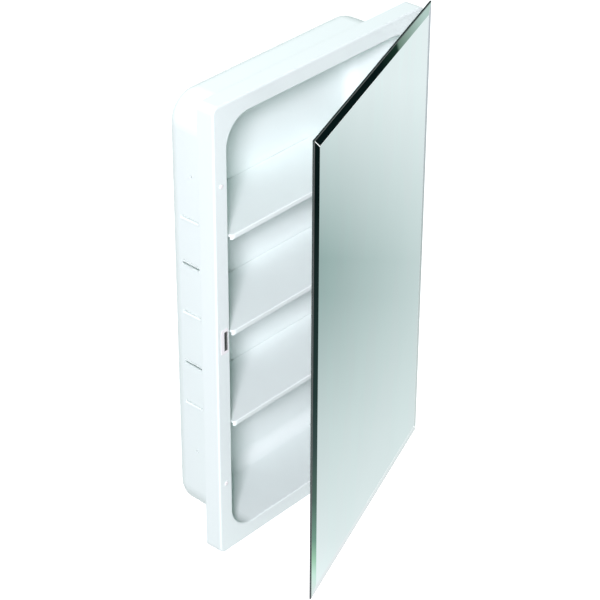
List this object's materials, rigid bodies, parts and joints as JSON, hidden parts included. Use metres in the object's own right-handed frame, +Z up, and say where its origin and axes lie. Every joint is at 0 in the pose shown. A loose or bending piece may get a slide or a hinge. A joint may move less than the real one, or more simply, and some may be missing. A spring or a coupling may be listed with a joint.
{
  "type": "recessed medicine cabinet",
  "caption": "Recessed moulded bathroom cabinet with shelves and a frameless bevelled mirror door on a continuous side hinge, held shut by a magnetic catch.",
  "frame": {"origin": "middle of the plane where the flange's rear rim meets the wall", "axes": "+X to the right of someone facing the cabinet, +Y into the wall, +Z up"},
  "size_m": [0.3963, 0.2463, 0.6604],
  "materials": {
    "body_plastic": "glossy moulded",
    "shelf_plastic": "glossy moulded",
    "catch_plastic": "satin moulded",
    "bumper_plastic": "soft, slightly glossy",
    "magnet_ferrite": "matte ferrite",
    "pole_steel": "dark zinc",
    "hinge_steel": "bright zinc",
    "pin_steel": "drawn wire",
    "rivet_aluminium": "set blind rivet",
    "strike_steel": "bright zinc",
    "mirror": "silvered glass with polished bevel",
    "tape_foam": "closed-cell foam",
    "panel_paint": "white enamel"
  },
  "bodies": {
    "cabinet": {"cabinet_body": "body_plastic", "shelf_top": "shelf_plastic", "shelf_middle": "shelf_plastic", "shelf_bottom": "shelf_plastic", "catch_housing": "catch_plastic", "catch_magnet": "magnet_ferrite", "catch_pole_left": "pole_steel", "catch_pole_right": "pole_steel", "bumper_upper": "bumper_plastic", "bumper_lower": "bumper_plastic", "hinge_body_leaf": "hinge_steel", "hinge_pin": "pin_steel", "hinge_body_rivets": "rivet_aluminium"},
    "door": {"mirror_glass": "mirror", "mirror_tape_left": "tape_foam", "mirror_tape_middle": "tape_foam", "mirror_tape_right": "tape_foam", "door_back_panel": "panel_paint", "hinge_door_leaf": "hinge_steel", "hinge_door_rivets": "rivet_aluminium", "strike_plate": "strike_steel", "strike_rivets": "rivet_aluminium"}
  },
  "joints": [
    {"name": "door_hinge", "type": "hinge", "parent": "cabinet", "child": "door", "pos_m": [0.19617, -0.0254, 0], "axis": [0, 0, 1], "range_deg": [-20.1, 89.9]}
  ]
}
